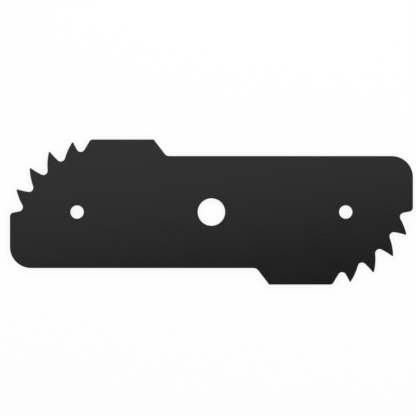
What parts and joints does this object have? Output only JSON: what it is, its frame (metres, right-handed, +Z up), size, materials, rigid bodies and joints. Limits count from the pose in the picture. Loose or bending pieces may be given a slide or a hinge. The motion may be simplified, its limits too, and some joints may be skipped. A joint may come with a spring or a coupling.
{
  "type": "lawn edger blade",
  "caption": "Flat stamped steel blade for a lawn edger, with raked teeth round a raised wing at opposite corners, a plain arbor bore and drive pin holes, painted satin black.",
  "frame": {"origin": "centre of the bore, on the lower face that the blade lies on", "axes": "+X along the blade, +Y across it towards the wing of the -X end, +Z up through the sheet along the bore"},
  "size_m": [0.1906, 0.0686, 0.0023],
  "materials": {
    "black_paint": "satin"
  },
  "bodies": {
    "root": {"edger_blade": "black_paint"}
  },
  "joints": []
}
